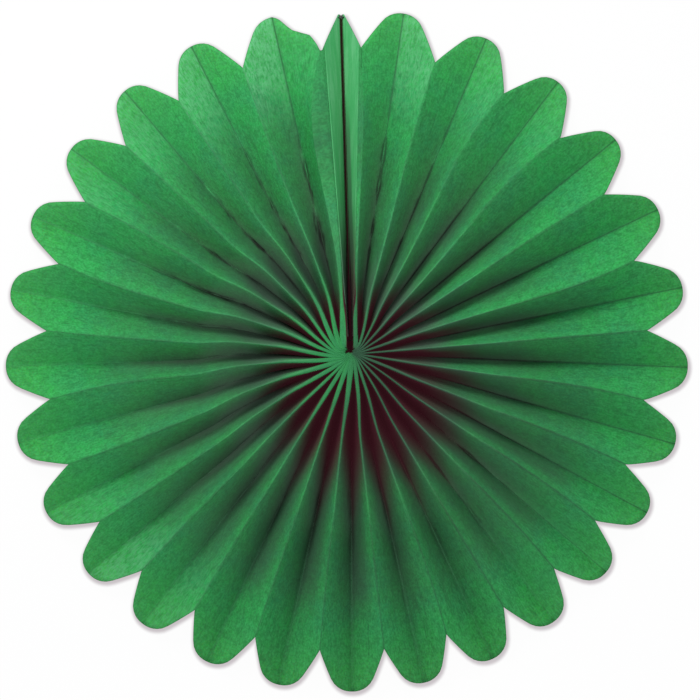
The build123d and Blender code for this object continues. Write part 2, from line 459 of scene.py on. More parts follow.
@dataclass(frozen=True)
class CardFinish:
    """Board faced with green paper, streaked along its length and near black along its edge, with painted
    shade near the hub and beside the slit.
    """

    green: Colour = (0.05, 0.37, 0.11)
    pale: Colour = (0.13, 0.47, 0.20)
    shade: Colour = (0.026, 0.22, 0.07)
    edge_dark: Colour = (0.030, 0.010, 0.013)
    # Painted shade colours for the card near the hub and beside the slit.
    gap_shade_red: Colour = (0.050, 0.011, 0.017)
    dusk: Colour = (0.040, 0.070, 0.048)
    edge_reach: float = 1.4 * MM
    hub_edge_reach: float = 2.3 * MM

    def material(self) -> bpy.types.Material:
        """Builds the material."""
        s = Shader("faced_card")
        place = s.place()
        across, along, _ = s.parts(place)
        streak = s.noise(s.stretched(place, (1.0, 0.045, 1.0)), 420.0, 3.0, 0.6)
        fine = s.noise(s.stretched(place, (1.0, 0.12, 1.0)), 1500.0, 2.0, 0.6)
        grain = s.noise(place, 900.0, 2.0, 0.6)
        broad = s.noise(s.stretched(place, (1.0, 0.1, 1.0)), 190.0, 2.0)
        reach = s.unsigned(across)
        outward = s.ease(along, 40 * MM, 130 * MM)
        # Painted shade near the hub: dark red on the right card and closest in, grey-green further out on
        # the left card.
        dark = s.tint(s.ease(along, 24 * MM, 50 * MM) * (across < 0.0), self.gap_shade_red, self.dusk)
        ragged = reach + (grain - 0.5) * 0.5 * MM
        edge = s.blend(outward, self.hub_edge_reach, self.edge_reach)
        # Painted shade on the right card beside the slit.
        beside = (across > 0.0) * s.fade(reach, 4.2 * MM, 6.0 * MM)
        beside = beside * s.ease(along, 70 * MM, 100 * MM) * s.fade(along, 190 * MM, 240 * MM)
        colour = s.layered(
            s.tint(s.ease(streak, 0.35, 0.7) * 0.45, self.green, self.pale),
            (s.ease(broad, 0.5, 0.66) * 0.6, self.pale),
            (s.ease(1.0 - fine, 0.5, 0.75) * 0.35, self.shade),
            (grain * 0.1, self.pale),
            (0.92 * s.fade(along, 55 * MM, 150 * MM), dark),
            (0.6 * beside, self.dusk),
            (s.fade(ragged, edge, edge + 0.35 * MM), self.edge_dark),
        )
        s.set(Base_Color=colour, Roughness=0.6 + 0.25 * grain, Specular_IOR_Level=0.4)
        s.bump(streak * 0.5 + fine * 0.3 + grain * 0.2, 0.12 * MM, 0.6)
        return s.material


@dataclass(frozen=True)
class ThreadFinish:
    """Dark spun thread."""

    dark: Colour = (0.022, 0.012, 0.013)
    light: Colour = (0.09, 0.05, 0.05)

    def material(self) -> bpy.types.Material:
        """Builds the material."""
        s = Shader("spun_thread")
        fluff = s.noise(s.place(), 3200.0, 3.0, 0.7)
        s.set(
            Base_Color=s.tint(s.ease(fluff, 0.35, 0.75), self.dark, self.light),
            Roughness=0.75 + 0.2 * fluff,
            Sheen_Weight=0.3,
        )
        s.bump(fluff, 0.08 * MM, 0.7)
        return s.material


@dataclass(frozen=True)
class LacquerFinish:
    """Thin wire with dark lacquer, rubbed a little."""

    lacquer: Colour = (0.016, 0.017, 0.016)
    rubbed: Colour = (0.16, 0.16, 0.15)

    def material(self) -> bpy.types.Material:
        """Builds the material."""
        s = Shader("lacquered_wire")
        place = s.place()
        wear = s.ease(s.noise(place, 1400.0, 3.0, 0.6), 0.58, 0.72)
        s.set(
            Base_Color=s.tint(wear, self.lacquer, self.rubbed),
            Roughness=0.32 + 0.25 * wear,
            Metallic=0.6 * wear,
            Coat_Weight=0.4,
            Coat_Roughness=0.25,
        )
        s.bump(s.noise(place, 2600.0, 2.0), 0.03 * MM, 0.5)
        return s.material


def dress(piece: bpy.types.Object, slot: Slot, node: str) -> None:
    """Lets a piece ride on the rosette and stand for a CAD node, whose part it hides.

    Args:
        piece: The finished piece.
        slot: Not used.
        node: CAD node that the piece stands for.
    """
    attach(piece, Body.ROSETTE.value)
    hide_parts(node)
    log.info("%s: %d faces", piece.name, len(piece.data.polygons))


@dataclass
class Rule:
    """The sizes that the folded sheet, the cards and the strip share with the CAD model."""

    petals: int = 27
    tip_radius: float = 317.5 * MM
    notch_radius: float = 278.5 * MM
    tip_round: float = 21.5 * MM
    hub_offset: float = 4.2 * MM
    hub_offset_bearing: float = math.radians(-65.0)
    hub_depth: float = 45.0 * MM
    rim_depth: float = 32.0 * MM
    rear_plane: float = 0.2 * MM
    one_way: float = 2.1
    two_way: float = 3.8
    four_way: float = 0.7
    four_way_start: float = 0.05
    inner_radius: float = 7.5 * MM
    seam_half_at_hub: float = 4.0 * MM
    seam_half_at_rim: float = 18.3 * MM
    seam_depth_at_hub: float = 26.5 * MM
    seam_depth_at_rim: float = 20.0 * MM
    seam_tip_radius: float = 313.5 * MM
    seam_tip_half_width: float = 2.8 * MM
    slit_half: float = 1.1 * MM
    end_fold: float = 1.2 * MM
    end_turn: float = 0.3

    @property
    def panels(self) -> int:
        """Number of full panels between the first front fold and the last."""
        return 2 * self.petals

    @property
    def seam_bearing(self) -> float:
        """Bearing of the first front fold at the notches, in radians."""
        return math.asin(self.seam_half_at_rim / self.notch_radius)

    def bearing(
        self,
        share: Value,
        beside: Value,
        sin: Callable[[Value], Value] = math.sin,
    ) -> Value:
        """Bearing of a place on the strip, with the pleats bunched a little.

        Args:
            share: How far round the rosette the place is, from 0 to 1.
            beside: Bearing of the first front fold, in radians.
            sin: The sine of numbers, or of a graph's terms.

        Returns:
            The bearing in radians.
        """
        bunching = (
            self.one_way * sin(math.pi * share)
            + self.two_way * sin(2 * math.pi * share)
            + self.four_way * sin(4 * math.pi * (share - self.four_way_start))
        )
        return beside + (2 * math.pi - 2.0 * beside) * (share + bunching / 360.0)

    def rim_bearing(self, fold: float) -> float:
        """Bearing of a fold at the notches, in radians."""
        return self.bearing(fold / self.panels, self.seam_bearing)

    def off_centre(self, bearing: float) -> float:
        """How much further the outline reaches on this bearing."""
        return self.hub_offset * math.cos(bearing - self.hub_offset_bearing)

    def along_seam(self, r: Term, at_hub: float, at_rim: float) -> Term:
        """A size that changes evenly from the hub to the notches."""
        slope = (at_rim - at_hub) / (self.notch_radius - self.inner_radius)
        return at_hub + (r - self.inner_radius) * slope


@dataclass
class FlatStrip:
    """The strip of tissue before it is folded: cut petal ends, and marks where its folds go."""

    rule: Rule
    panel_width: float = 45.0 * MM
    end_width: float = 27.0 * MM
    tab_folds: float = 0.15
    centre_radius: float = 0.5 * MM
    steps_across: int = 14
    steps_along: int = 60
    steps_round_tip: int = 14
    crowding: float = 1.3
    fold_crowding: float = 0.7
    # Where the painted sheen starts along the chosen panels, and over what length it reaches full
    # strength.
    sheen_start: float = 210.0 * MM
    sheen_rise: float = 60.0 * MM
    bows: tuple[float, ...] = (
        1.1, -0.5, -2.1, -1.9, -0.4, 1.5, 0.0, -1.1, -0.8, -0.8, -0.7, 0.0, -0.8, 0.0,
        0.2, 0.0, 0.2, 0.2, -0.3, -0.5, 1.4, -0.3, -1.2, 0.6, 0.1, 0.0, -0.2, -3.8,
    )
    rim_turns: tuple[float, ...] = (
        0.0, 0.1, 0.1, -0.4, -0.7, -0.5, -0.1, 0.4, 0.6, 0.4, 0.2, 0.1, 0.0, -0.1,
        -0.2, -0.1, 0.0, 0.0, -0.3, -0.5, -0.3, -0.1, -0.1, -0.4, -0.6, -1.0, -1.1, 0.0,
    )
    strand_halves: tuple[float, ...] = (
        1.3, 1.1, 0.8, 0.9, 0.8, 1.0, 0.7, 0.9, 1.3, 0.7, 1.1, 0.9, 1.4, 1.7,
        2.2, 2.2, 2.2, 1.5, 2.1, 2.4, 2.2, 2.1, 1.9, 1.7, 1.5, 2.3, 1.8, 2.1,
    )
    # Panels that carry a pale painted sheen towards their tips, with its strength on each.
    sheen_panels: dict[int, float] = field(
        default_factory=lambda: {
            1: 0.55, 3: 0.25, 5: 0.15, 32: 0.25, 34: 0.5, 36: 0.2, 46: 0.25, 48: 0.4,
            50: 0.6, 52: 0.8, 53: 0.15,
        }
    )
    bent_lobe: tuple[tuple[float, float], ...] = (
        (0.0, 0.0), (0.12, 0.07), (0.37, 0.40), (0.62, 0.53), (0.78, 0.60), (0.9, 0.78), (1.0, 1.0),
    )

    @property
    def length(self) -> float:
        """Length of the strip before it was folded."""
        return self.rule.panels * self.panel_width + 2 * self.end_width * (1 + self.tab_folds)

    def folds(self) -> np.ndarray:
        """Places of the columns, counted in folds, closer together beside each fold."""
        even = np.arange(self.steps_across) / self.steps_across
        step = (1 - self.fold_crowding) * even + self.fold_crowding * (1 - np.cos(np.pi * even)) / 2
        starts = np.arange(-1, self.rule.panels + 1)
        between = (starts[:, None] + step[None, :]).ravel()
        tab = self.tab_folds * np.array([1.0, 0.5])
        return np.concatenate([-1 - tab, between, self.rule.panels + 1 + np.append(0.0, tab[::-1])])

    def run(self, folds: np.ndarray) -> np.ndarray:
        """Distance of each column along the strip."""
        full = np.clip(folds, 0, self.rule.panels)
        return full * self.panel_width + (folds - full) * self.end_width

    def lobe(self, petal: int) -> tuple[np.ndarray, np.ndarray]:
        """Outline of a petal's cut end.

        Args:
            petal: Its number, clockwise from the seam.

        Returns:
            Places across the petal from 0 to 1, and the reach from the hub at each.
        """
        rule = self.rule
        left, right = rule.rim_bearing(2 * petal), rule.rim_bearing(2 * petal + 2)
        half = (right - left) / 2
        tip = rule.tip_radius + rule.off_centre((left + right) / 2)
        centre = np.array([0.0, tip - rule.tip_round])
        line: list[np.ndarray] = []
        for side, bearing in ((-1, left), (1, right)):
            reach = rule.notch_radius + rule.off_centre(bearing)
            notch = np.array([side * reach * math.sin(half), reach * math.cos(half)])
            away = notch - centre
            towards = math.atan2(away[1], away[0])
            touch = towards + side * math.acos(rule.tip_round / np.linalg.norm(away))
            touch = (touch + math.pi / 2) % (2 * math.pi) - math.pi / 2
            turns = np.linspace(touch, math.pi / 2, self.steps_round_tip)
            arc = centre + rule.tip_round * np.stack([np.cos(turns), np.sin(turns)], axis=1)
            half_line = np.vstack([notch, arc])
            line.append(half_line if side < 0 else half_line[::-1])
        points = np.vstack([line[0], line[1][1:]])
        across = (np.arctan2(points[:, 0], points[:, 1]) + half) / (2 * half)
        return across, np.hypot(points[:, 0], points[:, 1])

    def reach(self, folds: np.ndarray) -> np.ndarray:
        """Distance from the hub to the cut end at each column."""
        rule = self.rule
        out = np.zeros(len(folds))
        for petal in range(rule.petals):
            inside = (folds >= 2 * petal) & (folds <= 2 * petal + 2)
            across, reach = self.lobe(petal)
            out[inside] = np.interp((folds[inside] - 2 * petal) / 2, across, reach)
        last = (folds > rule.panels - 1) & (folds < rule.panels)
        tip, notch = out[folds == rule.panels - 1][0], out[folds == rule.panels][0]
        drop = np.interp(folds[last] - (rule.panels - 1), *zip(*self.bent_lobe))
        out[last] = tip + (notch - tip) * drop
        for side, share in ((1, -folds), (-1, folds - rule.panels)):
            chosen = share > 0
            notch = rule.notch_radius + rule.off_centre(side * rule.seam_bearing)
            x0, y0 = notch * math.sin(rule.seam_bearing), notch * math.cos(rule.seam_bearing)
            inward = np.clip((share[chosen] - rule.end_turn) / (1 - rule.end_turn), 0, 1)
            x = x0 + (rule.slit_half - x0) * inward
            bevel = np.clip((x0 - x) / (x0 - rule.seam_tip_half_width), 0, 1)
            out[chosen] = np.hypot(x, y0 + (rule.seam_tip_radius - y0) * bevel)
        return out

    def mesh(self) -> bpy.types.Mesh:
        """Builds the flat strip with its marks."""
        rule = self.rule
        folds = self.folds()
        reach = self.reach(folds)
        share = (np.arange(self.steps_along + 1) / self.steps_along) ** self.crowding
        full = np.clip(folds, 0, rule.panels)
        x = self.run(folds)
        y = self.centre_radius + (reach - self.centre_radius)[None, :] * share[:, None]
        points = np.stack([np.broadcast_to(x, y.shape), y, np.zeros_like(y)], axis=2).reshape(-1, 3)
        index = np.arange(y.size).reshape(y.shape)
        quads = [index[:-1, :-1], index[:-1, 1:], index[1:, 1:], index[1:, :-1]]
        faces = np.stack(quads, axis=2).reshape(-1, 4)
        made = bpy.data.meshes.new("flat_strip")
        made.from_pydata(points.tolist(), [], faces.tolist())
        ridges = np.arange(len(self.bows))
        front = 1 - np.abs(full - 2 * np.round(full / 2))
        chalk = np.array([self.sheen_panels.get(int(panel), 0.0) for panel in full])
        strands = np.array(self.strand_halves)[np.round(full / 2).astype(int)] * MM
        marks = {
            Mark.STRAND: strands,
            Mark.FOLD: folds,
            Mark.BOW: np.radians(np.interp(full / 2, ridges, self.bows) * front),
            Mark.TURN: np.radians(np.interp(full / 2, ridges, self.rim_turns)),
            Mark.PAINTED_SHEEN: chalk * np.clip((y - self.sheen_start) / self.sheen_rise, 0, 1),
            Mark.MARGIN: reach - y,
        }
        for mark, values in marks.items():
            layer = made.attributes.new(mark.value, "FLOAT", "POINT")
            layer.data.foreach_set("value", np.broadcast_to(values, y.shape).astype(np.float32).ravel())
        return made

    def area(self) -> float:
        """Area of the strip before it was folded."""
        folds = self.folds()
        return float(np.trapz(self.reach(folds), self.run(folds)))


class Bearing(Enum):
    """Directions from the hub, in degrees."""

    UPPER_RIGHT = 35.0
    # Bearing of a patch of painted shade on the right.
    SHADE_PATCH = 57.3
    RIGHT = 80.0
    LOWER_RIGHT = 125.0
    TURNED = 142.19
    DARKEST = 160.0
    FOOT = 178.0
    LOWER_LEFT = 215.0
    LAMP = 249.5
    ABOVE = 322.0
    UPPER_LEFT = 327.0

    @property
    def radians(self) -> float:
        """The direction as an angle in radians."""
        return math.radians(self.value)


class Spot:
    """A point of the strip: where it lies on the rosette and which way its panel faces.

    Its ranges of distance from the hub are in millimetres. Its ranges of bearing are cosines of
    the angle to a direction.
    """

    def __init__(self, g: FoldTree, rule: Rule) -> None:
        """Reads the strip's marks and works out what the shape and the shade share."""
        self.g = g
        self.flat = g.term("GeometryNodeInputPosition")
        _, self.r, _ = g.parts(self.flat)
        fold = g.marked(Mark.FOLD)
        last = float(rule.panels)
        full = g.held(fold, 0.0, last)
        self.share = full / last
        self.across = g.math("PINGPONG", full, 1.0)
        self.beyond = g.larger(g.larger(-fold, fold - last), 0.0)
        self.at_end = self.beyond > 0.0
        self.side = 1.0 - 2.0 * (self.share > 0.5)
        self.half = self.r * (math.pi / rule.petals)
        self.seam = g.smaller(
            rule.along_seam(self.r, rule.seam_half_at_hub, rule.seam_half_at_rim),
            self.r * (rule.seam_half_at_hub / rule.inner_radius),
        )
        self.beside = g.math("ARCSINE", self.seam / self.r)
        self.turn = rule.bearing(self.share, self.beside, g.sin)
        self.odd = g.math("MODULO", g.math("FLOOR", full), 2.0)
        self.even = 1.0 - self.odd
        self.faces_lamp = self.cosine(Bearing.LAMP) * (1.0 - 2.0 * self.odd)
        self.low = self.towards(Bearing.FOOT)
        self.lit = g.larger(self.faces_lamp, 0.0) * (1.0 - self.low)
        self.unlit = g.larger(-self.faces_lamp, 0.0) * (1.0 - self.low)
        self.shaded = g.held(0.5 - 2.0 * self.faces_lamp)
        self.leftward = g.held(-g.sin(self.turn))
        self.rightward = self.facing(Bearing.RIGHT, 0.45, 0.85)
        self.at_right = self.facing(Bearing.RIGHT, 0.75, 0.97)
        self.at_left = self.facing(Bearing.LOWER_LEFT, 0.2, 0.7)
        self.above = self.facing(Bearing.ABOVE, 0.2, 0.7)
        self.upper_right = self.facing(Bearing.UPPER_RIGHT, 0.7, 0.95)

    def cosine(self, bearing: Bearing) -> Term:
        """Cosine of the angle between the point's own bearing and another."""
        return self.g.cos(self.turn - bearing.radians)

    def towards(self, bearing: Bearing) -> Term:
        """The same cosine, but nowhere under zero."""
        return self.g.held(self.cosine(bearing))

    def facing(self, bearing: Bearing, low: float, high: float) -> Term:
        """Rises from 0 to 1 as that cosine goes from low to high."""
        return self.g.ease(self.cosine(bearing), low, high)

    def past(self, low: float, high: float) -> Term:
        """Rises from 0 to 1 between two distances from the hub."""
        return self.g.ease(self.r, low * MM, high * MM)

    def within(self, low: float, high: float) -> Term:
        """Falls from 1 to 0 between two distances from the hub."""
        return 1.0 - self.past(low, high)

    def ring(self, start: float, inner: float, outer: float, end: float) -> Term:
        """Rises over the first two distances from the hub and falls over the last two."""
        return self.past(start, inner) * self.within(outer, end)


@dataclass
class Form:
    """How the folded sheet runs at a point, before its ripple.

    Attributes:
        x, y, z: The point's place.
        wall: How far across the slope of its panel it is, from 0 to 1.
        fall: How far under the front fold it is.
        x_end: How far from the seam's middle it would be on an end panel.
    """

    x: Term
    y: Term
    z: Term
    wall: Term
    fall: Term
    x_end: Term


@dataclass
class PleatedTissue:
    """The strip folded to and fro and gathered at the hub, as one sheet."""

    rule: Rule
    strip: FlatStrip
    thickness: float = 0.25 * MM
    rim_fold_half: float = 0.35 * MM
    widest_crown: float = 0.97
    crease: float = 0.5 * MM
    push_right: float = 2.8 * MM
    push_left: float = 5.6 * MM
    push_down: float = 3.7 * MM
    slide: float = math.radians(1.9)
    hole_half: float = 2.4 * MM
    hole_centre: float = -0.9 * MM
    hole_depth: float = 20.0 * MM
    tab_depth: float = 4.0 * MM
    ripple: float = 1.5 * MM
    # How far from the hub the painted dark red shade in the folds reaches, and how much further it reaches
    # on one bearing.
    dark_reach: float = 84.0 * MM
    dark_lean: float = 26.0 * MM

    def bearing(self, at: Spot, notch_radius: Term) -> Term:
        """Bearing of a point, with its fold's own bow and turn, and the slide of the left folds."""
        g = at.g
        outward = g.held((at.r - 30 * MM) / (notch_radius - 30 * MM))
        bow = g.marked(Mark.BOW) * g.sin(math.pi * outward**1.6)
        rim_turn = g.marked(Mark.TURN) * at.past(40, 150)
        slid = g.ease(at.share, 0.56, 0.76) * at.past(15, 66) * at.within(100, 150)
        return at.turn + bow + rim_turn + self.slide * slid * g.fade(at.share, 0.90, 0.99)

    def pushed(self, at: Spot) -> tuple[Term, Term]:
        """How far the folds near the hub are pushed aside and down, away from the slit."""
        g = at.g
        push_right, push_left = g.named(self, "push_right", "push_left")
        near = g.held(1.0 - at.r / (66 * MM))
        near_right = g.fade(at.r, 15 * MM + 20 * MM * at.low, 62 * MM + 20 * MM * at.low)
        on_right = g.fade(at.share, 0.465, 0.565) * near_right * g.ease(at.share, 0.0, 0.03)
        on_left = g.ease(at.share, 0.54, 0.64)
        leftward = 0.24 * on_left * near + 0.76 * g.ease(at.share, 0.74, 0.88) * at.within(10, 56)
        leftward = push_left * leftward * (1.0 - 0.45 * g.ease(at.share, 0.95, 1.0))
        moved = at.past(1, 9)
        down = self.push_down * moved * on_left * near * (1.0 - 0.6 * g.ease(at.share, 0.86, 0.96))
        return moved * (push_right * on_right - leftward), -down

    def slope(self, g: FoldTree, wall: Term, near: Term) -> Term:
        """Height of a panel, from 1 at its front fold to 0 at its rear one, both of them rounded."""
        ridge, valley = 0.016 + 0.06 * near, 0.03
        raw = g.root((1.0 - wall) ** 2.0 + valley**2) - g.root(wall**2.0 + ridge**2.0)
        top = math.sqrt(1 + valley**2) - ridge
        foot = valley - g.root(1.0 + ridge**2.0)
        return (raw - foot) / (top - foot)

    def end(self, at: Spot, x: Term, y: Term, top: Term) -> tuple[Term, Term, Term]:
        """Bends an end panel down beside the slit, from the place of the full panel's last fold."""
        g, rule, seam = at.g, self.rule, at.seam
        first = g.held(at.beyond / rule.end_turn)
        second = g.held((at.beyond - rule.end_turn) / (1.0 - rule.end_turn))
        tucked = g.larger(at.beyond - 1.0, 0.0) / self.strip.tab_folds
        slit = g.smaller(rule.slit_half, seam * 0.27)
        shelf = g.larger(seam - 3.0 * MM, seam * 0.3)
        end_fold = g.blend(at.past(25, 60), shelf, g.smaller(rule.end_fold, seam * 0.3))
        inward = (seam - slit) * second + slit * tucked
        drop = g.held((inward - end_fold) / (seam - slit - end_fold))
        depth = rule.along_seam(at.r, rule.seam_depth_at_hub, rule.seam_depth_at_rim) * at.past(0, 4)
        x_end = at.side * (g.blend(first, at.side * x, seam) - inward)
        y_end = g.blend(first, y, at.r * g.cos(at.beside))
        return x_end, y_end, top - depth * drop - tucked * self.tab_depth

    def form(self, at: Spot) -> Form:
        """Folds the full panels into pleats and bends the end panels down."""
        g, rule = at.g, self.rule
        hub_depth, rim_depth, notch_radius = g.named(rule, "hub_depth", "rim_depth", "notch_radius")
        (crease,) = g.named(self, "crease")
        near = at.within(20, 80)
        depth = hub_depth + (rim_depth - hub_depth) * (at.r / notch_radius) ** 2.0
        top = rule.rear_plane + depth
        strand = g.blend(at.past(15, 100), g.marked(Mark.STRAND), self.rim_fold_half)
        crown = g.smaller(strand / at.half, self.widest_crown)
        open_share = 1.0 - crown
        wall = g.held((at.across - crown) / open_share)
        opened = g.ease(open_share, 0.04, 0.3)
        fall = (1.0 - self.slope(g, wall, near)) * (depth * opened + crease)
        rounding = g.held(at.across / crown) ** 2.0 * 0.4 * MM * near
        bearing = self.bearing(at, notch_radius)
        push_x, push_y = self.pushed(at)
        full = (at.r * g.sin(bearing) + push_x, at.r * g.cos(bearing) + push_y, top - fall - rounding)
        end = self.end(at, full[0], full[1], top)
        x, y, z = (g.blend(at.at_end, panel, bent) for panel, bent in zip(full, end))
        return Form(x, y, z, wall, fall, end[0])

    def ripples(self, at: Spot, form: Form, place: Term) -> Term:
        """Soft unevenness of the panels."""
        g = at.g
        soft = g.sin(math.pi * at.across) * at.past(40, 130) * (1.0 - at.at_end)
        broad = g.noise(place, 11.0, 2.0) - 0.5
        small = g.noise(g.join(form.x, form.y, at.share * 3.0), 34.0, 2.0) - 0.5
        (ripple,) = g.named(self, "ripple")
        return soft * ripple * (broad * 2.2 + small * 0.9)

    def hole(self, at: Spot, form: Form) -> Term:
        """The open inner end of the slit, from 0 round it to 1 in it."""
        g = at.g
        below = g.smaller(form.y - self.hole_half + 0.6 * MM, 0.0)
        away = g.root((form.x - self.hole_centre) ** 2.0 + below**2.0)
        return g.fade(away, 0.85 * self.hole_half, 1.1 * self.hole_half) * at.within(14, 22)

    def in_slit(self, at: Spot, form: Form) -> Term:
        """Where an end panel lies down in the slit, from 0 to 1."""
        g = at.g
        reach = 2.7 * MM + (2.6 * MM + 2.2 * MM * (at.side > 0.0)) * at.past(22, 62)
        return g.fade(g.unsigned(form.x_end - self.hole_centre), reach, reach + 0.7 * MM)

    def dark_edge(self, at: Spot) -> Term:
        """How far from the hub the painted dark red shade deep in the folds reaches."""
        return self.dark_reach + self.dark_lean * at.cosine(Bearing.DARKEST)

    def gap(self, at: Spot, form: Form, in_slit: Term) -> Term:
        """Painted dark red shade deep in the folds near the hub."""
        g, wall = at.g, form.wall
        walled = g.blend(at.at_end, g.ease(form.fall, 0.8 * MM, 4 * MM), in_slit)
        spread = 1.0 + 0.4 * at.low * wall - (0.35 + 0.25 * at.leftward) * at.lit + 0.15 * at.unlit
        spread = spread - 0.14 * at.odd * at.at_left - 0.15 * at.upper_right
        spread = self.dark_edge(at) * spread
        beside_lit = at.lit * at.past(30, 50) * g.fade(wall, 0.3, 0.85)
        beside_ridge = at.at_right * at.unlit * at.past(60, 80) * g.fade(wall, 0.2, 0.55)
        gathered = g.fade(at.r, 0.58 * spread, 1.22 * spread) * walled
        return gathered * (1.0 - 0.75 * beside_lit) * (1.0 - 0.85 * beside_ridge)

    def dusk(self, at: Spot, slope: Term) -> Term:
        """Painted shade outside the painted dark red shade of the folds; the slope is 0 at the front fold
        and on end panels.
        """
        g = at.g
        edge = self.dark_edge(at)
        evenly = g.blend(at.facing(Bearing.LOWER_RIGHT, 0.75, 0.95), slope, 0.42)
        dusk = (0.2 + 0.35 * at.low) * evenly + 0.1 * at.shaded * slope
        dusk = dusk * g.fade(at.r, 1.5 * edge, 3.3 * edge)
        lit_right = 0.8 * at.at_right * g.held(3.0 * at.faces_lamp)
        dim = 0.2 + 0.2 * at.past(30, 60) + 0.55 * at.towards(Bearing.LOWER_RIGHT)
        dim = dim + 0.4 * at.towards(Bearing.RIGHT) * at.within(45, 80)
        dim = dim + 0.25 * at.upper_right * at.within(65, 95)
        dim = g.smaller(dim, 0.93) * at.within(100, 165) * (1.0 - lit_right * at.past(72, 105))
        turned = g.ease(at.faces_lamp, 0.0, 0.4) * g.ease(slope, 0.1, 0.5)
        turned = turned * (0.1 + 0.2 * at.towards(Bearing.TURNED))
        broad = 0.2 * at.within(215, 265) + 0.15 * at.within(90, 170) + turned * at.within(215, 255)
        broad = broad * (1.0 - lit_right) * (1.0 - 0.8 * at.above * at.odd)
        broad = broad * (1.0 - 0.5 * at.upper_right * at.even)
        shade_patch = at.facing(Bearing.SHADE_PATCH, 0.3, 0.8) * at.ring(122, 142, 165, 205)
        upper_left = at.facing(Bearing.UPPER_LEFT, 0.78, 0.93) * at.even
        patches = 0.6 * upper_left * at.within(85, 145) + 0.2 * upper_left * at.ring(125, 150, 205, 245)
        broad = broad + slope * (0.4 * at.odd * shade_patch + patches)
        broad = broad + 0.2 * at.at_right * at.even * at.ring(95, 115, 150, 180)
        left = g.blend(at.odd, at.within(90, 135), at.within(70, 90)) * at.past(52, 76)
        return g.larger(dusk + broad + (0.42 - 0.14 * at.odd) * at.leftward * left, dim)

    def seep(self, at: Spot, slope: Term) -> Term:
        """Painted glow that stands in for faint light seeping through the layers, by the same slope."""
        g = at.g
        at_foot = g.ease(at.low, 0.75, 0.95) * at.past(150, 190)
        start = 60 * MM - 30 * MM * (1.0 - at.facing(Bearing.LOWER_LEFT, -0.3, 0.3))
        ring = g.larger(at.leftward, at.above) * at.ring(78, 98, 122, 150)
        ring = ring + 0.7 * at.leftward * at.past(180, 220)
        outer = g.ease(at.r, start - 15 * MM, start + 60 * MM) * at.shaded * (1.0 - at_foot)
        outer = outer * (1.0 - 0.55 * at.at_right * at.past(65, 95)) * (1.0 + 1.2 * at.odd * ring)
        inner = 0.45 * g.ease(at.r, start, start + 35 * MM) * at.within(125, 170)
        steep = 0.25 + 0.35 * slope + 0.7 * slope**4.0
        steep = steep * (1.0 - 0.65 * at.at_left * at.shaded * slope**2.0)
        deep = 1.8 * at.at_left * slope**3.0 * g.fade(at.low, 0.6, 0.85) * at.ring(85, 150, 190, 240)
        beside_strip = 1.1 * at.lit * at.ring(25, 48, 70, 105) * g.fade(slope, 0.3, 0.85)
        unshaded = 1.0 - at.shaded
        seep = (outer + inner * unshaded) * steep + deep * unshaded + beside_strip
        return seep * (1.0 - at.at_end)

    def line(self, at: Spot, place: Term) -> Term:
        """Painted shade: dark lines in the valleys, small dark marks beside them and fine dark lines on
        the ridges.
        """
        g = at.g
        wander = (g.noise(place, 42.0, 2.0) - 0.5) * 7 * MM * at.ring(60, 110, 180, 250)
        wander = wander * (1.0 - 0.85 * at.rightward)
        from_valley = g.unsigned((1.0 - at.across) * at.half + wander) + at.at_end
        width = 1.5 * MM + 2.8 * MM * g.ease(at.low, 0.82, 0.97)
        line = g.fade(from_valley, 0.2 * MM, width) * at.past(40, 90)
        faint = 0.5 * at.facing(Bearing.LAMP, 0.6, 0.9) * at.within(190, 240)
        rim_fade = 0.45 - 0.4 * g.larger(g.held(1.3 * g.cos(at.turn)), at.rightward)
        line = line * (0.8 - rim_fade * at.past(130, 230)) * (1.0 - faint)
        dent = g.noise(g.join(at.r, at.share * 3.0, 0.0), 85.0, 2.0)
        dent_shade = g.ease(dent, 0.5, 0.62) * at.ring(80, 115, 165, 210)
        dent_shade = dent_shade * at.facing(Bearing.ABOVE, 0.55, 0.9)
        line = g.larger(line, 0.95 * dent_shade * g.fade(from_valley, 0.7 * MM, 3.4 * MM))
        ridge = g.fade(at.across * at.half, 0.2 * MM, 1.4 * MM) * at.past(120, 190)
        ridge_dark = 0.35 + 0.4 * at.towards(Bearing.LOWER_RIGHT) + 0.2 * at.leftward
        return g.larger(line, ridge_dark * ridge)

    def tree(self, finish: bpy.types.Material) -> FoldTree:
        """Builds the tree that folds the flat strip and marks its painted shade and glow.

        Args:
            finish: The tissue's material.

        Returns:
            The tree, which takes the flat strip.
        """
        g = FoldTree("pleating")
        at = Spot(g, self.rule)
        form = self.form(at)
        place = g.join(form.x, form.y, form.z)
        hole = self.hole(at, form)
        z = g.larger(form.z + self.ripples(at, form, place), self.rule.rear_plane)
        z = g.larger(z - self.hole_depth * hole, self.rule.rear_plane)
        slope = g.blend(at.at_end, form.wall, 0.0)
        in_slit = self.in_slit(at, form)
        # Painted shade in the slit and at its open inner end.
        unseen = g.larger(at.at_end * in_slit * at.within(45, 80), at.beyond > 1.0)
        marks = {
            Mark.GAP_SHADE: g.larger(self.gap(at, form, in_slit), hole),
            Mark.PAINTED_SHADE: self.dusk(at, slope),
            Mark.LINE: self.line(at, place),
            Mark.SEEP_GLOW: self.seep(at, slope),
            Mark.SLIT_SHADE: g.larger(unseen, hole),
        }
        kept = g.store(Term(g, g.entry.outputs["Geometry"]), Mark.FLAT, at.flat, "FLOAT_VECTOR")
        for mark, value in marks.items():
            kept = g.store(kept, mark, value)
        g.close(g.moved(kept, form.x, form.y, z), finish)
        return g

    def build(self, finish: bpy.types.Material) -> bpy.types.Object:
        """Folds the strip and gives it its wall."""
        piece = self.tree(finish).shape("pleated_sheet", self.strip.mesh())
        wall = piece.modifiers.new("wall", "SOLIDIFY")
        wall.thickness = self.thickness
        wall.offset = 0.0
        dress(piece, Slot.TISSUE, "pleated_tissue")
        self.strip.area()
        return piece


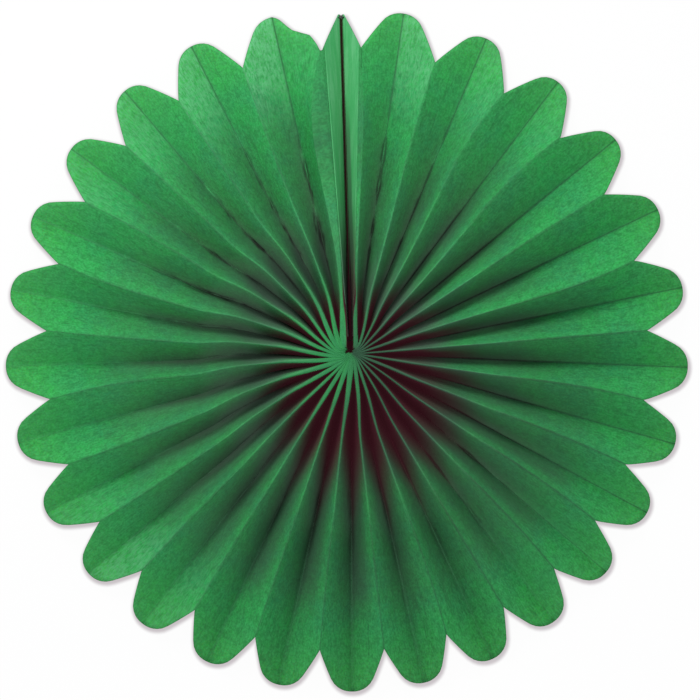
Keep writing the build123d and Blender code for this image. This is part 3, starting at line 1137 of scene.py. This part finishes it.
@dataclass
class HubThread:
    """Three-ply thread that runs once round the hub through every pleat."""

    ring_radius: float = 11.0 * MM
    level: float = 22.7 * MM
    ply_radius: float = 0.24 * MM
    ply_offset: float = 0.23 * MM
    ply_sides: int = 7
    plies: int = 3
    twists: int = 46
    points: int = 520

    def build(self, finish: bpy.types.Material) -> bpy.types.Object:
        """Lays the plies round the ring."""
        g = FoldTree("twisted_thread")
        ring_radius, ply_radius, ply_offset = g.named(self, "ring_radius", "ply_radius", "ply_offset")
        joined = g.node("GeometryNodeJoinGeometry")
        for ply in range(self.plies):
            place = g.term("GeometryNodeSplineParameter", output="Factor")
            bearing = place * (2 * math.pi)
            twist = place * (2 * math.pi * self.twists) + 2 * math.pi * ply / self.plies
            reach = ring_radius + ply_offset * g.cos(twist)
            level = self.level + ply_offset * g.sin(twist)
            ring = g.circle(self.points, 1.0)
            laid = g.moved(ring, reach * g.sin(bearing), reach * g.cos(bearing), level)
            g.feed(joined.inputs[0], g.tube(laid, self.ply_sides, ply_radius))
        g.close(Term(g, joined.outputs[0]), finish)
        piece = g.shape("ply_thread")
        dress(piece, Slot.THREAD, "hub_thread")
        return piece


@dataclass
class SeamTie:
    """Wire ring, wound a little over one and a half times, that joins the tips of the two cards."""

    ring_radius: float = 3.2 * MM
    wire_radius: float = 0.42 * MM
    wire_sides: int = 12
    turns: float = 1.6
    pitch: float = 0.95 * MM
    points: int = 96

    def build(self, finish: bpy.types.Material) -> bpy.types.Object:
        """Winds the ring where the CAD ring stands."""
        low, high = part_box("seam_tie")
        centre = (low + high) / 2
        g = FoldTree("wound_ring")
        ring_radius, wire_radius = g.named(self, "ring_radius", "wire_radius")
        line = g.term("GeometryNodeCurvePrimitiveLine", {"mode": "POINTS"}, {"End": (10 * MM, 0.0, 0.0)})
        fine = g.term("GeometryNodeResampleCurve", None, {"Curve": line, "Count": self.points})
        place = g.term("GeometryNodeSplineParameter", output="Factor")
        turn = place * (2 * math.pi * self.turns)
        wound = g.moved(
            fine,
            centre.x + ring_radius * g.sin(turn),
            centre.y + self.pitch * (place - 0.5) * self.turns,
            centre.z - ring_radius * g.cos(turn),
        )
        g.close(g.tube(wound, self.wire_sides, wire_radius, capped=True), finish)
        piece = g.shape("tie_ring")
        dress(piece, Slot.TIE, "seam_tie")
        return piece


@dataclass
class EndCards:
    """The two boards beside the seam, which keep their CAD shape."""

    nodes: tuple[str, str] = ("end_card_left", "end_card_right")

    def build(self, finish: bpy.types.Material) -> None:
        """Gives both boards their finish."""
        for name in self.nodes:
            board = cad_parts[name]
            board.data.materials.clear()
            board.data.materials.append(finish)
            log.info("%s: dressed", name)


@dataclass
class Studio:
    """Floor, lamps, world and the camera at the photographed view."""

    width_shown: float = 651.0 * MM
    roll: float = math.radians(1.7)
    shift_right: float = -0.93 * MM
    shift_up: float = 1.86 * MM
    distance: float = 6.0
    sensor_width: float = 36.0
    floor_colour: Colour = (0.84, 0.83, 0.83)
    floor_reach: float = 6.0
    floor_turns: int = 1100
    floor_rings: int = 72
    floor_drop: float = 0.3 * MM
    ring_start: float = 235.0 * MM
    ring_width: float = 110.0 * MM
    # Colour, offset and width of the painted shadow round the petals.
    shadow: Colour = (0.60, 0.555, 0.58)
    shadow_right: float = 0.9 * MM
    shadow_down: float = 1.8 * MM
    shadow_width: float = 4.8 * MM
    covered_reach: float = 270.0 * MM
    open_half: float = 4.0 * MM
    open_end: float = 312.0 * MM
    ambient: float = 0.68
    ambient_colour: Colour = (0.95, 0.98, 1.04)
    lamp_place: Vector = field(default_factory=lambda: Vector((-0.25, 0.68, 0.89)))
    lamp_size: float = 0.35
    lamp_power: float = 7.4

    def camera(self) -> None:
        """Looks straight down on the rosette, turned a little as in the photograph."""
        lens = bpy.data.cameras.new("view")
        lens.lens = self.sensor_width * self.distance / self.width_shown
        lens.clip_end = 10 * self.distance
        eye = placed("view", lens)
        cos, sin = math.cos(self.roll), math.sin(self.roll)
        eye.location = (
            cos * self.shift_right + sin * self.shift_up,
            cos * self.shift_up - sin * self.shift_right,
            self.distance,
        )
        eye.rotation_euler = (0.0, 0.0, -self.roll)
        bpy.context.scene.camera = eye

    def floor(self, sheet: bpy.types.Object) -> None:
        """Pale floor with a narrow painted shadow round the petals.

        Args:
            sheet: The folded sheet, whose outline the shadow follows.
        """
        s = Shader("pale_floor")
        s.set(Base_Color=(*self.floor_colour, 1.0), Roughness=0.9, Specular_IOR_Level=0.1)
        self.rings(sheet, s.material)
        # Painted shadow: darker near the sheet's outline, shifted right and down.
        cover = s.fade(s.marked(Mark.SHADE), 0.0, self.shadow_width)
        light = {"Color": s.tint(cover, (1.0, 1.0, 1.0), self.shadow), "Strength": 1.0}
        white = s.term("ShaderNodeEmission", None, light)
        x, y, _ = s.parts(s.place())
        slit = (s.unsigned(x) < self.open_half) * (y > 0.0) * (y < self.open_end)
        uncovered = (s.root(x * x + y * y) > self.covered_reach) * (1.0 - slit)
        seen = s.seen_by("Is Camera Ray", "Is Glossy Ray")
        whitened = {0: seen * uncovered * 0.97, 1: s.shaded, 2: white}
        s.feed(s.output.inputs["Surface"], s.term("ShaderNodeMixShader", None, whitened))

    def rings(self, sheet: bpy.types.Object, finish: bpy.types.Material) -> None:
        """Lays the floor as rings round the rosette, finest where its shadow's edge falls."""
        g = FoldTree("floor_rings")
        (reach,) = g.named(self, "floor_reach")
        counts = {"Vertices X": self.floor_turns, "Vertices Y": self.floor_rings}
        grid = g.term("GeometryNodeMeshGrid", None, {"Size X": 1.0, "Size Y": 1.0, **counts})
        turn, out, _ = g.parts(g.term("GeometryNodeInputPosition"))
        edge = 0.499
        radius = self.ring_start + (out + 0.5) * self.ring_width
        radius = g.blend(out > edge, g.blend(out < -edge, radius, 0.0), reach)
        bearing = turn * (2 * math.pi)
        laid = g.moved(grid, radius * g.sin(bearing), radius * g.cos(bearing), -self.floor_drop)
        shown = g.term("GeometryNodeObjectInfo", None, {"Object": sheet}, output="Geometry")
        flattened = {
            "Geometry": shown,
            "Translation": (self.shadow_right, -self.shadow_down, -self.floor_drop),
            "Scale": (1.0, 1.0, 0.0),
        }
        cast = g.term("GeometryNodeTransform", None, flattened)
        away = g.term("GeometryNodeProximity", {"target_element": "FACES"}, {0: cast}, output="Distance")
        g.close(g.store(laid, Mark.SHADE, away), finish)
        g.shape("floor")

    def lamps(self) -> None:
        """One soft lamp above the seam end, and an even world."""
        bulb = bpy.data.lights.new("softbox", "AREA")
        bulb.shape = "SQUARE"
        bulb.size = self.lamp_size
        bulb.energy = self.lamp_power
        lamp = placed("softbox", bulb)
        lamp.location = self.lamp_place
        lamp.rotation_euler = (-self.lamp_place).to_track_quat("-Z", "Y").to_euler()
        lamp.visible_camera = False
        world = bpy.data.worlds.new("studio")
        world.use_nodes = True
        g = Graph(world.node_tree)
        shown: dict[int, Term] = {0: g.seen_by("Is Camera Ray", "Is Transmission Ray")}
        for place, colour, strength in ((1, self.ambient_colour, self.ambient), (2, (1.0, 1.0, 1.0), 1.0)):
            light = {"Color": (*colour, 1.0), "Strength": strength}
            shown[place] = g.term("ShaderNodeBackground", None, light)
        g.node("ShaderNodeOutputWorld", None, {"Surface": g.term("ShaderNodeMixShader", None, shown)})
        bpy.context.scene.world = world

    def build(self, sheet: bpy.types.Object) -> None:
        """Sets the whole stage round the folded sheet."""
        bpy.context.scene.view_settings.view_transform = "Standard"
        self.camera()
        self.floor(sheet)
        self.lamps()


def main() -> None:
    """Builds the rosette's pieces in order."""
    logging.basicConfig(level=logging.INFO, format="%(name)s: %(message)s")
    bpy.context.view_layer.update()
    rule = Rule()
    sheet = PleatedTissue(rule, FlatStrip(rule)).build(TissueFinish().material())
    Studio().build(sheet)
    EndCards().build(CardFinish().material())
    HubThread().build(ThreadFinish().material())
    SeamTie().build(LacquerFinish().material())


if __name__ == "__main__":
    main()
